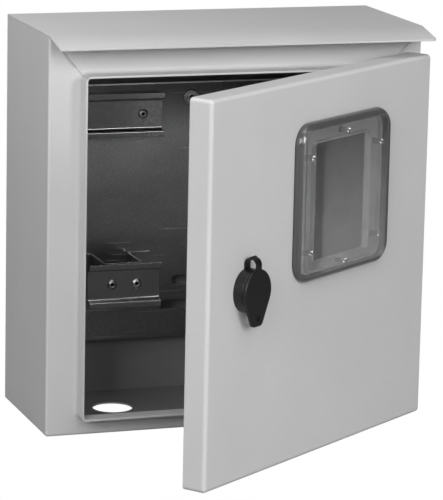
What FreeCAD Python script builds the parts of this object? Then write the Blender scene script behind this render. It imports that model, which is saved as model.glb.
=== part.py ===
"""Wall-mounted sheet-steel electric meter box, door resting partly open.

Frame: origin in the middle of the four wall holes on the back face, +Y into the wall,
+X to the right and +Z up. The door parts are drawn shut and then swung about the hinge axis.
"""
import FreeCAD
import Part
import math
import os

Vector = FreeCAD.Vector

# Case, folded steel sheet
CASE_W = 300.0
CASE_H = 310.0
CASE_D = 120.0
SHEET = 1.5
FOLD_R = 2.0
VISOR_OUT = 30.9
VISOR_DROP = 6.2
SEAM_GAP = 0.2

# Front opening and its rain lip
SIDE_MARGIN = 26.0
TOP_MARGIN = 31.0
BOTTOM_MARGIN = 16.0
LIP_H = 16.0
LIP_CORNER_R = 2.5
LIP_ROOT_R = 3.0

# Holes in the case
WALL_HOLE_D = 7.0
WALL_HOLE_FROM_SIDE = 30.0
WALL_HOLE_FROM_END = 25.0
CABLE_HOLE_D = 32.0
CABLE_HOLE_FROM_SIDE = 74.0
CABLE_HOLE_FROM_WALL = 52.5

# Door, a pan of the same sheet
DOOR_SIDE_LAP = 24.0
DOOR_TOP_LAP = 11.1
DOOR_BASE_LAP = 10.9
DOOR_T = 19.0
DOOR_SHEET = 1.5
DOOR_FOLD_R = 3.0
DOOR_STAND = 3.5
DOOR_OPEN_DEG = 36.4

# Foam strips inside the door
SEAL_W = 12.0
SEAL_CLEAR = 0.3
SEAL_BUTT = 0.2

# Door hinges
HINGE_FROM_DOOR_EDGE = 7.0
HINGE_BEHIND_FACE = 9.0
HINGE_FROM_OPENING_TOP = 39.0
HINGE_FROM_OPENING_BASE = 39.0
HINGE_LEG_T = 2.0
HINGE_LEG_CLEAR = 1.2
HINGE_LEG_H = 24.0
HINGE_ARM_T = 3.0
HINGE_ARM_W = 5.6
HINGE_ARM_R = 4.0
HINGE_PIN_D = 4.0
HINGE_PIN_CLEAR = 0.05
HINGE_PIN_RISE = 1.5
HINGE_PIN_HEAD_D = 7.0
HINGE_PIN_HEAD_H = 1.5
HINGE_WASHER_D = 8.0
HINGE_WASHER_T = 0.8
HINGE_PLAY = 0.2
HINGE_TAB_T = 2.5
HINGE_TAB_R = 4.5
HINGE_FOOT_T = 2.0
HINGE_FOOT_W = 11.5
HINGE_FOOT_H = 18.0

# Mounting plate on its bushes
PLATE_SIDE_GAP = 38.0
PLATE_TOP_GAP = 56.0
PLATE_BASE_GAP = 46.0
PLATE_T = 1.5
PLATE_GAP = 8.5
PLATE_CORNER_R = 2.0
EYELET_FROM_TOP = 13.0
EYELET_FROM_BASE = 12.0
EYELET_FROM_SIDE = 12.0
TOP_EYELET_SHIFT = -1.2
LOW_EYELET_SHIFT = 12.0
BUSH_D = 12.0
EYELET_HEAD_D = 13.5
EYELET_RIM_W = 1.9
EYELET_RIM_H = 1.5
EYELET_GROOVE_H = 0.3
EYELET_INNER_D = 6.6
EYELET_HOLE_D = 4.6
EYELET_SHANK_D = 8.0
EYELET_SHANK_L = 8.0

# Slots in the plate that take the meter's screws
METER_FROM_SIDE = 71.0
SLOT_W = 8.0
SLOT_L = 35.0
UPPER_SLOT_RISE = 46.6
UPPER_SLOT_INNER = 21.2
LOWER_SLOT_RISE = 26.6
LOWER_SLOT_INNER = 31.4
TOP_SLOT_W = 6.0
TOP_SLOT_L = 36.0
TOP_SLOT_FROM_TOP = 3.0

# Hat-section rails, 35 mm by 7.5 mm
RAIL_H = 35.0
RAIL_DEPTH = 7.5
RAIL_T = 1.0
RAIL_INNER_H = 27.0
RAIL_LIP_R = 1.3
RAIL_WEB_R = 3.2
UPPER_RAIL_L = 84.0
UPPER_RAIL_FROM_SIDE = 2.0
UPPER_RAIL_DROP = 24.7
UPPER_RIVET_PITCH = 52.6
LOWER_RAIL_L = 59.0
LOWER_RAIL_FROM_SIDE = 14.5
LOWER_RAIL_RISE = 54.6
LOWER_RIVET_SHIFT = 0.9
LOWER_RIVET_ROOM = 0.9

# Hat bracket that carries the lower rail
BRACKET_H = 34.0
BRACKET_OUT = 38.5
BRACKET_W = 32.0
BRACKET_FOOT = 17.4
BRACKET_T = 1.5
BRACKET_BEND_R = 2.5

# Blind rivets
RIVET_HEAD_D = 8.0
RIVET_HEAD_H = 1.5
RIVET_BODY_D = 4.0
RIVET_BORE_D = 2.6
RIVET_MOUTH_R = 0.6
RIVET_TAIL_D = 5.0
RIVET_TAIL_H = 1.6

# Earth stud on the side wall
EARTH_D = 6.0
EARTH_L = 18.0
EARTH_NUT_ACROSS = 10.0
EARTH_NUT_H = 5.0
EARTH_WASHER_D = 12.0
EARTH_WASHER_T = 1.6
EARTH_FROM_WALL = 60.0
EARTH_FROM_FLOOR = 55.0

# Window in the door
WINDOW_X = 20.0
WINDOW_TOP_GAP = 36.1
WINDOW_CUT_W = 108.0
WINDOW_CUT_H = 109.0
WINDOW_CUT_R = 10.0
COVER_SIDE_LAP = 8.0
COVER_END_LAP = 5.0
COVER_R = 16.0
COVER_RISE = 8.0
COVER_WALL = 2.0
COVER_EDGE = 1.0
GASKET_T = 1.0
GASKET_INSET = 0.6
PEG_D = 4.4
PEG_HOLE_CLEAR = 0.2
PEG_ROOM = 0.15
PEG_SIDE_SHIFT = 1.5
PEG_FROM_VIEW_END = 9.25
PEG_PROUD = 1.2
FRAME_RISE = 2.0
FRAME_FLOOR = 2.0
FRAME_RIB = 1.2
FRAME_CLEAR = 0.5
FRAME_FLANGE_W = 7.0
FRAME_FLANGE_R = 14.0
FRAME_SIDE_BORDER = 16.5
FRAME_TOP_BORDER = 11.65
FRAME_VIEW_R = 3.0
CLIP_D = 7.0
CLIP_T = 0.8

# Quarter-turn lock in the door
LOCK_FROM_OPENING = 23.0
LOCK_BELOW_MIDDLE = 0.7
LOCK_BARREL_WALL = 3.0
LOCK_HOLE_CLEAR = 0.2
LOCK_FLANGE_W = 2.5
LOCK_FLANGE_H = 3.5
ROTOR_D = 12.0
ROTOR_CLEAR = 0.05
ROTOR_HEAD_LAP = 1.5
ROTOR_HEAD_H = 1.2
KEYHOLE_D = 7.4
KEYHOLE_DEPTH = 8.0
KEY_PIN_D = 3.0
KEY_BIT_T = 1.2
LOCK_NUT_WALL = 2.0
LOCK_NUT_H = 4.0
ROTOR_END_D = 16.0
ROTOR_END_H = 2.0
ROTOR_SQUARE = 8.0
CAM_T = 2.0
CAM_CLEAR = 1.5
CAM_CATCH = 15.5
CAM_W = 12.0
CAM_TIP_R = 3.0
CAM_SCREW_D = 5.0
CAM_SCREW_L = 9.0
CAM_SCREW_HEAD_D = 9.0
CAM_SCREW_HEAD_H = 3.0
CAM_WASHER_D = 13.0
CAM_WASHER_T = 1.0

# Plastic collar and dust cap over the lock
COLLAR_WALL = 4.0
COLLAR_BORE_CLEAR = 0.7
COLLAR_FLOOR = 1.2
COLLAR_H = 8.2
COLLAR_ROUND = 0.8
CAP_GAP = 0.3
CAP_T = 2.8
CAP_OVERHANG = 0.3
CAP_ROUND = 0.9
TAB_OUT = 9.1
TAB_END_W = 14.0
TAB_CORNER_R = 4.0
TAB_SLOT_W = 3.5
TAB_SLOT_L = 4.3
TAB_SLOT_OUT = 2.9
LOOP_W = 6.4
LOOP_T = 1.1
LOOP_CROWN = 8.6
LOOP_FROM_DOOR = 0.3
LOOP_ROOT = 1.5
LOOP_EYE_R = 1.3
LOOP_EYE_W = 2.4
LOOP_RELIEF = 0.3
LOOP_SIDE_CLEAR = 0.3
LOOP_PIN_D = 1.4
LOOP_PIN_CLEAR = 0.05

# Places worked out from the sizes above
LEFT = -CASE_W / 2
RIGHT = CASE_W / 2
TOP = CASE_H / 2
BOTTOM = -CASE_H / 2
FRONT = -CASE_D
OPEN_HALF_W = CASE_W / 2 - SIDE_MARGIN
OPEN_TOP = TOP - TOP_MARGIN
OPEN_BOTTOM = BOTTOM + BOTTOM_MARGIN
LIP_FRONT = FRONT - LIP_H
DOOR_RIM = FRONT - DOOR_STAND
DOOR_FACE = DOOR_RIM - DOOR_T
DOOR_INSIDE = DOOR_FACE + DOOR_SHEET
DOOR_HALF_W = OPEN_HALF_W + DOOR_SIDE_LAP
DOOR_LOW = OPEN_BOTTOM - DOOR_BASE_LAP
DOOR_HIGH = OPEN_TOP + DOOR_TOP_LAP
HINGE_X = DOOR_HALF_W - HINGE_FROM_DOOR_EDGE
HINGE_Y = DOOR_FACE + HINGE_BEHIND_FACE
HINGE_UPPER_Z = OPEN_TOP - HINGE_FROM_OPENING_TOP
HINGE_LOWER_Z = OPEN_BOTTOM + HINGE_FROM_OPENING_BASE
PLATE_HALF_W = CASE_W / 2 - PLATE_SIDE_GAP
PLATE_HIGH = TOP - PLATE_TOP_GAP
PLATE_LOW = BOTTOM + PLATE_BASE_GAP
PLATE_Z = (PLATE_HIGH + PLATE_LOW) / 2
PLATE_BACK = -SHEET - PLATE_GAP
PLATE_FACE = PLATE_BACK - PLATE_T
METER_X = PLATE_HALF_W - METER_FROM_SIDE
UPPER_RAIL_X = -PLATE_HALF_W + UPPER_RAIL_FROM_SIDE + UPPER_RAIL_L / 2
UPPER_RAIL_Z = PLATE_HIGH - UPPER_RAIL_DROP
UPPER_RAIL_FACE = PLATE_FACE - RAIL_T
LOWER_RAIL_X = -PLATE_HALF_W + LOWER_RAIL_FROM_SIDE + LOWER_RAIL_L / 2
LOWER_RAIL_Z = PLATE_LOW + LOWER_RAIL_RISE
BRACKET_FACE = PLATE_FACE - BRACKET_OUT
LOWER_RAIL_FACE = BRACKET_FACE - RAIL_T
EARTH_Z = BOTTOM + EARTH_FROM_FLOOR
WINDOW_HIGH = DOOR_HIGH - WINDOW_TOP_GAP
WINDOW_LOW = WINDOW_HIGH - WINDOW_CUT_H
WINDOW_Z = (WINDOW_HIGH + WINDOW_LOW) / 2
COVER_W = WINDOW_CUT_W + 2 * COVER_SIDE_LAP
COVER_H = WINDOW_CUT_H + 2 * COVER_END_LAP
COVER_ROUND = COVER_RISE - GASKET_T - COVER_EDGE
FRAME_LOW_BORDER = FRAME_CLEAR + 2 * FRAME_RIB + PEG_D + 2 * PEG_HOLE_CLEAR + PEG_ROOM
VIEW_W = WINDOW_CUT_W - 2 * FRAME_SIDE_BORDER
VIEW_HIGH = WINDOW_HIGH - FRAME_TOP_BORDER
VIEW_LOW = WINDOW_LOW + FRAME_LOW_BORDER
COVER_BACK = DOOR_FACE - GASKET_T
COVER_FACE = DOOR_FACE - COVER_RISE
FRAME_FACE = DOOR_FACE - FRAME_RISE
FRAME_BACK = DOOR_INSIDE + FRAME_FLOOR
LOCK_X = -OPEN_HALF_W + LOCK_FROM_OPENING
LOCK_Z = (DOOR_LOW + DOOR_HIGH) / 2 - LOCK_BELOW_MIDDLE
LOCK_BARREL_D = ROTOR_D + 2 * LOCK_BARREL_WALL
LOCK_FLANGE_D = LOCK_BARREL_D + 2 * LOCK_FLANGE_W
LOCK_NUT_ACROSS = LOCK_BARREL_D + 2 * LOCK_NUT_WALL
ROTOR_HEAD_D = ROTOR_D + 2 * ROTOR_HEAD_LAP
CAM_REACH = LOCK_FROM_OPENING + CAM_CATCH
COLLAR_BORE_D = LOCK_FLANGE_D + 2 * COLLAR_BORE_CLEAR
COLLAR_D = COLLAR_BORE_D + 2 * COLLAR_WALL
CAP_D = COLLAR_D + 2 * CAP_OVERHANG
TAB_REACH = CAP_D / 2 + TAB_OUT
TAB_SLOT_DROP = CAP_D / 2 + TAB_SLOT_OUT
LOOP_R = (COLLAR_H + CAP_GAP + CAP_T - LOOP_FROM_DOOR) / 2
LOOP_OUT = LOOP_FROM_DOOR + LOOP_R
LOOP_MID = COLLAR_D / 2 + LOOP_CROWN - LOOP_R
LOOP_PIN = LOOP_MID + LOOP_R - LOOP_T / 2
COLLAR_FACE = DOOR_FACE - COLLAR_H
CAP_BACK = COLLAR_FACE - CAP_GAP
CAP_FACE = CAP_BACK - CAP_T
LOCK_SEAT = DOOR_FACE - COLLAR_FLOOR
LOCK_FACE = LOCK_SEAT - LOCK_FLANGE_H
CAM_FACE = FRONT + SHEET + CAM_CLEAR
BARREL_END = CAM_FACE - ROTOR_END_H - ROTOR_CLEAR
HINGE_AXIS = Vector(HINGE_X, HINGE_Y, 0)


def box(x0, x1, y0, y1, z0, z1):
    """Block between two corners."""
    return Part.makeBox(x1 - x0, y1 - y0, z1 - z0, Vector(x0, y0, z0))


def rod(radius, start, direction, length):
    """Round bar from a start point along a direction."""
    return Part.makeCylinder(radius, length, start, direction)


def front_rod(radius, x, z, y0, y1):
    """Round bar along Y between two depths."""
    return rod(radius, Vector(x, y0, z), Vector(0, 1, 0), y1 - y0)


def front_ring(outer_r, inner_r, x, z, y0, y1):
    """Round tube along Y between two depths."""
    return front_rod(outer_r, x, z, y0, y1).cut(front_rod(inner_r, x, z, y0, y1))


def front_hexagon(across, x, z, y0, y1):
    """Hexagonal bar along Y, size given across its flats."""
    corner = across / math.sqrt(3)
    turns = [math.radians(60 * k) for k in range(7)]
    points = [Vector(x + corner * math.cos(a), y0, z + corner * math.sin(a)) for a in turns]
    return Part.Face(Part.makePolygon(points)).extrude(Vector(0, y1 - y0, 0))


def front_panel(x, z, width, height, corner_r, y0, y1):
    """Rounded rectangle centred on x, z and drawn out along Y."""
    body = box(x - width / 2, x + width / 2, y0, y1, z - height / 2, z + height / 2)
    corners = [e for e in body.Edges if abs(e.tangentAt(e.FirstParameter).y) > 0.9]
    return body.makeFillet(corner_r, corners)


def front_slot(x, z, length, width, y0, y1, upright=False):
    """Slot with round ends, drawn out along Y."""
    reach = (length - width) / 2
    dx, dz = (0, reach) if upright else (reach, 0)
    middle = box(x - max(dx, width / 2), x + max(dx, width / 2), y0, y1,
                 z - max(dz, width / 2), z + max(dz, width / 2))
    ends = [front_rod(width / 2, x + s * dx, z + s * dz, y0, y1) for s in (-1, 1)]
    return middle.fuse(ends)


def edges_where(shape, test):
    """Edges whose middle point passes a test."""
    picked = []
    for edge in shape.Edges:
        middle = edge.valueAt((edge.FirstParameter + edge.LastParameter) / 2)
        if test(middle, edge):
            picked.append(edge)
    return picked


def near(a, b):
    """True where two places are the same."""
    return abs(a - b) < 1e-4


def front_ring_of_sheet():
    """Front flange with the rain lip round the opening, all four sides."""
    flange = box(LEFT, RIGHT, FRONT, FRONT + SHEET, BOTTOM, TOP - SHEET)
    middle_z = (OPEN_TOP + OPEN_BOTTOM) / 2
    open_w = 2 * OPEN_HALF_W
    open_h = OPEN_TOP - OPEN_BOTTOM
    lip = front_panel(0, middle_z, open_w + 2 * SHEET, open_h + 2 * SHEET,
                      LIP_CORNER_R + SHEET, LIP_FRONT, FRONT + SHEET)
    hole = front_panel(0, middle_z, open_w, open_h, LIP_CORNER_R, LIP_FRONT - 1, FRONT + SHEET + 1)
    ring = flange.fuse(lip).cut(hole).removeSplitter()
    root = edges_where(ring, lambda m, e: near(m.y, FRONT) and abs(m.x) < OPEN_HALF_W + 2 * SHEET
                       and OPEN_BOTTOM - 2 * SHEET < m.z < OPEN_TOP + 2 * SHEET)
    ring = ring.makeFillet(LIP_ROOT_R, root)
    inside = edges_where(ring, lambda m, e: near(m.y, FRONT + SHEET) and abs(m.x) < OPEN_HALF_W + SHEET / 2
                         and OPEN_BOTTOM - SHEET / 2 < m.z < OPEN_TOP + SHEET / 2)
    return ring.makeFillet(LIP_ROOT_R + SHEET, inside)


def mitre_wedge(gap):
    """Wedge over the opening whose slanted sides are the mitres of the front flange."""
    run_x = SIDE_MARGIN * 1.3
    run_z = TOP_MARGIN * 1.3
    slant = math.hypot(run_x, run_z)
    shift = gap * slant / run_z
    points = []
    for side, depth in ((-1, 0), (1, 0), (1, 1), (-1, 1)):
        x = side * (CASE_W / 2 - shift - depth * run_x)
        points.append(Vector(x, LIP_FRONT - 1, TOP - depth * run_z))
    return Part.Face(Part.makePolygon(points + points[:1])).extrude(Vector(0, LIP_H + SHEET + 2, 0))


def case_shell():
    """Sides, floor and front flange with lip, folded and welded into one shell."""
    outer = box(LEFT, RIGHT, FRONT, 0, BOTTOM, TOP - SHEET)
    folds = edges_where(outer, lambda m, e: (near(m.y, FRONT) and near(abs(m.x), RIGHT))
                        or (near(m.z, BOTTOM) and not near(m.y, 0)))
    outer = outer.makeFillet(FOLD_R, folds)
    inner = box(LEFT + SHEET, RIGHT - SHEET, FRONT + SHEET, 1, BOTTOM + SHEET, TOP)
    folds = edges_where(inner, lambda m, e: (near(m.y, FRONT + SHEET) and near(abs(m.x), RIGHT - SHEET))
                        or (near(m.z, BOTTOM + SHEET) and not near(m.y, 1)))
    inner = inner.makeFillet(FOLD_R - SHEET, folds)
    mouth = front_panel(0, (OPEN_TOP + OPEN_BOTTOM) / 2, 2 * (OPEN_HALF_W + SHEET + LIP_ROOT_R),
                        OPEN_TOP - OPEN_BOTTOM + 2 * (SHEET + LIP_ROOT_R),
                        LIP_CORNER_R + SHEET + LIP_ROOT_R, FRONT - 1, FRONT + SHEET + 1)
    walls = outer.cut(inner).cut(mouth)
    lip = front_ring_of_sheet().common(mouth.fuse(box(LEFT, RIGHT, LIP_FRONT - 1, FRONT, BOTTOM, TOP)))
    shell = walls.fuse(lip).cut(mitre_wedge(0)).removeSplitter()
    for x in (LEFT + CABLE_HOLE_FROM_SIDE, RIGHT - CABLE_HOLE_FROM_SIDE):
        shell = shell.cut(rod(CABLE_HOLE_D / 2, Vector(x, -CABLE_HOLE_FROM_WALL, BOTTOM - 1),
                              Vector(0, 0, 1), SHEET + 2))
    return shell


def upper_flange():
    """Upper piece of the front flange with its length of lip, mitred to the shell."""
    return front_ring_of_sheet().common(mitre_wedge(SEAM_GAP))


def roof_panel():
    """Top sheet, which runs on forward and down as the visor."""
    slope = math.atan2(VISOR_DROP, VISOR_OUT)
    lower = SHEET * math.tan(slope / 2)
    tip_y = FRONT - VISOR_OUT
    tip_z = TOP - VISOR_DROP
    top = [(0, TOP), (FRONT - lower, TOP), (tip_y, tip_z)]
    under = [(tip_y + SHEET * math.sin(slope), tip_z - SHEET * math.cos(slope)), (FRONT, TOP - SHEET),
             (0, TOP - SHEET)]
    ring = [Vector(LEFT, y, z) for y, z in top + under]
    sheet = Part.Face(Part.makePolygon(ring + ring[:1])).extrude(Vector(CASE_W, 0, 0))
    corners = edges_where(sheet, lambda m, e: near(abs(m.x), RIGHT) and m.y < tip_y + SHEET
                          and abs(e.tangentAt(e.FirstParameter).x) < 0.1 and e.Length < 2 * SHEET)
    return sheet.makeFillet(2 * SHEET, corners)


def back_panel():
    """Flat rear sheet with the four wall holes."""
    sheet = box(LEFT + SHEET, RIGHT - SHEET, -SHEET, 0, BOTTOM + SHEET, TOP - SHEET)
    rear_folds = edges_where(sheet, lambda m, e: near(m.z, BOTTOM + SHEET) and near(abs(m.x), RIGHT - SHEET))
    sheet = sheet.makeFillet(FOLD_R - SHEET, rear_folds)
    for x in (LEFT + WALL_HOLE_FROM_SIDE, RIGHT - WALL_HOLE_FROM_SIDE):
        for z in (BOTTOM + WALL_HOLE_FROM_END, TOP - WALL_HOLE_FROM_END):
            sheet = sheet.cut(front_rod(WALL_HOLE_D / 2, x, z, -SHEET - 1, 1))
    return sheet


def eyelet_places():
    """Centres of the four eyelets that hold the plate: top, bottom and both sides."""
    side = PLATE_HALF_W - EYELET_FROM_SIDE
    high = PLATE_HIGH - EYELET_FROM_TOP
    low = PLATE_LOW + EYELET_FROM_BASE
    return [(TOP_EYELET_SHIFT, high), (LOW_EYELET_SHIFT, low), (-side, PLATE_Z), (side, PLATE_Z)]


def mounting_plate():
    """Flat inner plate with slots for the meter and holes for its fasteners."""
    plate = front_panel(0, PLATE_Z, 2 * PLATE_HALF_W, PLATE_HIGH - PLATE_LOW, PLATE_CORNER_R, PLATE_FACE,
                        PLATE_BACK)
    y0, y1 = PLATE_FACE - 1, PLATE_BACK + 1
    cuts = []
    for inner, rise in ((UPPER_SLOT_INNER, UPPER_SLOT_RISE), (LOWER_SLOT_INNER, LOWER_SLOT_RISE)):
        for side in (-1, 1):
            x = METER_X + side * (inner + SLOT_L / 2)
            cuts.append(front_slot(x, PLATE_LOW + rise, SLOT_L, SLOT_W, y0, y1))
    top_slot_z = PLATE_HIGH - TOP_SLOT_FROM_TOP - TOP_SLOT_L / 2
    cuts.append(front_slot(METER_X, top_slot_z, TOP_SLOT_L, TOP_SLOT_W, y0, y1, True))
    cuts += [front_rod(EYELET_SHANK_D / 2, x, z, y0, y1) for x, z in eyelet_places()]
    cuts += [front_rod(RIVET_BODY_D / 2, x, z, y0, y1) for x, z in upper_rivet_places()]
    return plate.cut(cuts)


def plate_bushes():
    """Tubes welded to the back panel that hold the plate off it."""
    return Part.Compound([front_ring(BUSH_D / 2, EYELET_SHANK_D / 2, x, z, PLATE_BACK, -SHEET)
                          for x, z in eyelet_places()])


def plate_eyelet(x, z):
    """Hollow eyelet with a raised outer rim, a groove and a raised inner rim."""
    outer_r = EYELET_HEAD_D / 2
    groove_r = outer_r - EYELET_RIM_W
    inner_r = EYELET_INNER_D / 2
    hole_r = EYELET_HOLE_D / 2
    shank_r = EYELET_SHANK_D / 2
    high = PLATE_FACE - EYELET_RIM_H
    low = PLATE_FACE - EYELET_GROOVE_H
    end = PLATE_FACE + EYELET_SHANK_L
    outline = [(hole_r, high), (inner_r, high), (inner_r, low), (groove_r, low), (groove_r, high),
               (outer_r, high), (outer_r, PLATE_FACE), (shank_r, PLATE_FACE), (shank_r, end), (hole_r, end)]
    points = [Vector(x + r, y, z) for r, y in outline]
    solid = Part.Face(Part.makePolygon(points + points[:1])).revolve(Vector(x, 0, z), Vector(0, 1, 0), 360)
    rounds = edges_where(solid, lambda m, e: near(m.y, high)
                         and math.hypot(m.x - x, m.z - z) > (inner_r + groove_r) / 2)
    return solid.makeFillet(EYELET_RIM_W * 0.4, rounds)


def plate_eyelets():
    """Eyelets through the plate into the bushes."""
    return Part.Compound([plate_eyelet(x, z) for x, z in eyelet_places()])


def rail(x, z, length, back_y, rivets):
    """Hat-section rail whose web lies on a face at back_y."""
    half = RAIL_H / 2
    inner = RAIL_INNER_H / 2
    lip_y = back_y - RAIL_DEPTH
    outline = [(lip_y, z + half), (lip_y, z + inner - RAIL_T), (back_y - RAIL_T, z + inner - RAIL_T),
               (back_y - RAIL_T, z - inner + RAIL_T), (lip_y, z - inner + RAIL_T), (lip_y, z - half)]
    body = hat_section(outline, RAIL_T, RAIL_LIP_R, RAIL_WEB_R, x - length / 2, x + length / 2)
    y0, y1 = back_y - RAIL_T - 1, back_y + 1
    return body.cut([front_rod(RIVET_BODY_D / 2, rx, rz, y0, y1) for rx, rz in rivets])


def hat_section(outline, thickness, lip_r, web_r, x0, x1):
    """Hat strip of six outline points in Y-Z; the sheet lies behind the outline, bends rounded outside."""
    (lip_y, z_a), (_, z_b), (web_y, _), (_, z_c), _, (_, z_d) = outline
    lip_back = lip_y + thickness
    web_back = web_y + thickness
    back = [(lip_back, z_a), (lip_back, z_b + thickness), (web_back, z_b + thickness),
            (web_back, z_c - thickness), (lip_back, z_c - thickness), (lip_back, z_d)]
    ring = [Vector(x0, y, z) for y, z in outline + back[::-1]]
    solid = Part.Face(Part.makePolygon(ring + ring[:1])).extrude(Vector(x1 - x0, 0, 0))
    for k, (front, rear) in enumerate(zip(outline, back)):
        if k in (0, 5):
            continue
        front_is_outer = k in (1, 4)
        bend_r = lip_r if front_is_outer else web_r
        for (y, z), outer in ((front, front_is_outer), (rear, not front_is_outer)):
            found = edges_where(solid, lambda m, e, y=y, z=z: near(m.y, y) and near(m.z, z))
            solid = solid.makeFillet(bend_r if outer else bend_r - thickness, found)
    return solid


def rivet_places(x, z, pitch):
    """Two rivet centres, side by side."""
    return [(x - pitch / 2, z), (x + pitch / 2, z)]


def upper_rivet_places():
    """Rivet centres of the upper rail."""
    return rivet_places(UPPER_RAIL_X, UPPER_RAIL_Z, UPPER_RIVET_PITCH)


def lower_rivet_places():
    """Rivet centres of the lower rail."""
    reach = BRACKET_W / 2 - BRACKET_BEND_R - RIVET_TAIL_D / 2 - LOWER_RIVET_ROOM
    return rivet_places(LOWER_RAIL_X + LOWER_RIVET_SHIFT, LOWER_RAIL_Z, 2 * reach)


def blind_rivet(x, z, seat_y, grip):
    """Domed hollow rivet whose head looks forward and whose tail is spread behind the grip."""
    dome_r = (RIVET_HEAD_D ** 2 / 4 + RIVET_HEAD_H ** 2) / (2 * RIVET_HEAD_H)
    dome = Part.makeSphere(dome_r, Vector(x, seat_y - RIVET_HEAD_H + dome_r, z))
    head = dome.common(front_rod(RIVET_HEAD_D, x, z, seat_y - RIVET_HEAD_H - 1, seat_y))
    shank = front_rod(RIVET_BODY_D / 2, x, z, seat_y - RIVET_HEAD_H / 2, seat_y + grip)
    tail = front_rod(RIVET_TAIL_D / 2, x, z, seat_y + grip, seat_y + grip + RIVET_TAIL_H)
    bore = front_rod(RIVET_BORE_D / 2, x, z, seat_y - RIVET_HEAD_H - 1, seat_y + grip / 2)
    rivet = head.fuse([shank, tail]).cut(bore)
    rim = edges_where(rivet, lambda m, e: m.y < seat_y - RIVET_HEAD_H / 2)
    return rivet.makeFillet(RIVET_MOUTH_R, rim)


def upper_rail_rivets():
    """Rivets through the upper rail and the plate."""
    return Part.Compound([blind_rivet(x, z, UPPER_RAIL_FACE, RAIL_T + PLATE_T)
                          for x, z in upper_rivet_places()])


def lower_rail_rivets():
    """Rivets through the lower rail and its bracket."""
    return Part.Compound([blind_rivet(x, z, LOWER_RAIL_FACE, RAIL_T + BRACKET_T)
                          for x, z in lower_rivet_places()])


def rail_bracket():
    """Hat-shaped strip on the plate that holds the lower rail forward."""
    x0 = LOWER_RAIL_X - BRACKET_W / 2
    x1 = LOWER_RAIL_X + BRACKET_W / 2
    far = BRACKET_FOOT
    t = BRACKET_T
    outside = [(x0 - far, PLATE_FACE - t), (x0, PLATE_FACE - t), (x0, BRACKET_FACE), (x1, BRACKET_FACE),
               (x1, PLATE_FACE - t), (x1 + far, PLATE_FACE - t)]
    inside = [(x1 + far, PLATE_FACE), (x1 - t, PLATE_FACE), (x1 - t, BRACKET_FACE + t),
              (x0 + t, BRACKET_FACE + t), (x0 + t, PLATE_FACE), (x0 - far, PLATE_FACE)]
    low = LOWER_RAIL_Z - BRACKET_H / 2
    ring = [Vector(x, y, low) for x, y in outside + inside]
    strip = Part.Face(Part.makePolygon(ring + ring[:1])).extrude(Vector(0, 0, BRACKET_H))
    inner_r = BRACKET_BEND_R - t
    bends = [(x0, PLATE_FACE - t, inner_r), (x1, PLATE_FACE - t, inner_r), (x0, BRACKET_FACE, BRACKET_BEND_R),
             (x1, BRACKET_FACE, BRACKET_BEND_R), (x1 - t, PLATE_FACE, BRACKET_BEND_R),
             (x0 + t, PLATE_FACE, BRACKET_BEND_R), (x1 - t, BRACKET_FACE + t, inner_r),
             (x0 + t, BRACKET_FACE + t, inner_r)]
    for x, y, radius in bends:
        found = edges_where(strip, lambda m, e, x=x, y=y: near(m.x, x) and near(m.y, y))
        strip = strip.makeFillet(radius, found)
    for x, z in lower_rivet_places():
        strip = strip.cut(front_rod(RIVET_BODY_D / 2, x, z, BRACKET_FACE - 1, BRACKET_FACE + t + 1))
    return strip


def earth_stud():
    """Threaded earth stud welded to the left side wall."""
    return rod(EARTH_D / 2, Vector(LEFT + SHEET, -EARTH_FROM_WALL, EARTH_Z), Vector(1, 0, 0), EARTH_L)


def earth_washer():
    """Washer on the earth stud."""
    seat = Vector(LEFT + SHEET, -EARTH_FROM_WALL, EARTH_Z)
    ring = rod(EARTH_WASHER_D / 2, seat, Vector(1, 0, 0), EARTH_WASHER_T)
    return ring.cut(rod(EARTH_D / 2, seat, Vector(1, 0, 0), EARTH_WASHER_T))


def earth_nut():
    """Hexagon nut on the earth stud."""
    nut = front_hexagon(EARTH_NUT_ACROSS, 0, 0, 0, EARTH_NUT_H)
    nut = nut.cut(front_rod(EARTH_D / 2, 0, 0, -1, EARTH_NUT_H + 1))
    seat = Vector(LEFT + SHEET + EARTH_WASHER_T, -EARTH_FROM_WALL, EARTH_Z)
    nut.Placement = FreeCAD.Placement(seat, FreeCAD.Rotation(Vector(0, 1, 0), Vector(1, 0, 0)))
    return nut


def case_hinge(z):
    """Case half of a hinge: leg on the side of the rain lip and an arm out to the pin."""
    lip_x = OPEN_HALF_W + SHEET
    half_t = HINGE_ARM_T / 2
    leg_y = LIP_FRONT + HINGE_PLAY
    leg_end = FRONT - LIP_ROOT_R - HINGE_LEG_CLEAR
    leg = box(lip_x, lip_x + HINGE_LEG_T, leg_y, leg_end, z - HINGE_LEG_H / 2, z + HINGE_LEG_H / 2)
    arm = box(lip_x, HINGE_X, leg_y, leg_y + HINGE_ARM_W, z - half_t, z + half_t)
    eye = rod(HINGE_ARM_R, Vector(HINGE_X, HINGE_Y, z - half_t), Vector(0, 0, 1), HINGE_ARM_T)
    bore = rod(HINGE_PIN_D / 2, Vector(HINGE_X, HINGE_Y, z - half_t - 1), Vector(0, 0, 1), HINGE_ARM_T + 2)
    return leg.fuse([arm, eye]).cut(bore).removeSplitter()


def hinge_pin(z):
    """Pin fixed in the case half, head below and free end up through the door half."""
    start = Vector(HINGE_X, HINGE_Y, z - HINGE_ARM_T / 2 - HINGE_PIN_HEAD_H)
    head = rod(HINGE_PIN_HEAD_D / 2, start, Vector(0, 0, 1), HINGE_PIN_HEAD_H)
    length = (HINGE_PIN_HEAD_H + HINGE_ARM_T + HINGE_WASHER_T + HINGE_PLAY + HINGE_TAB_T + HINGE_PIN_RISE)
    shank = rod(HINGE_PIN_D / 2, start, Vector(0, 0, 1), length)
    tip = edges_where(shank, lambda m, e: near(m.z, start.z + length))
    return head.fuse(shank.makeChamfer(HINGE_PIN_D / 8, tip)).removeSplitter()


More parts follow.
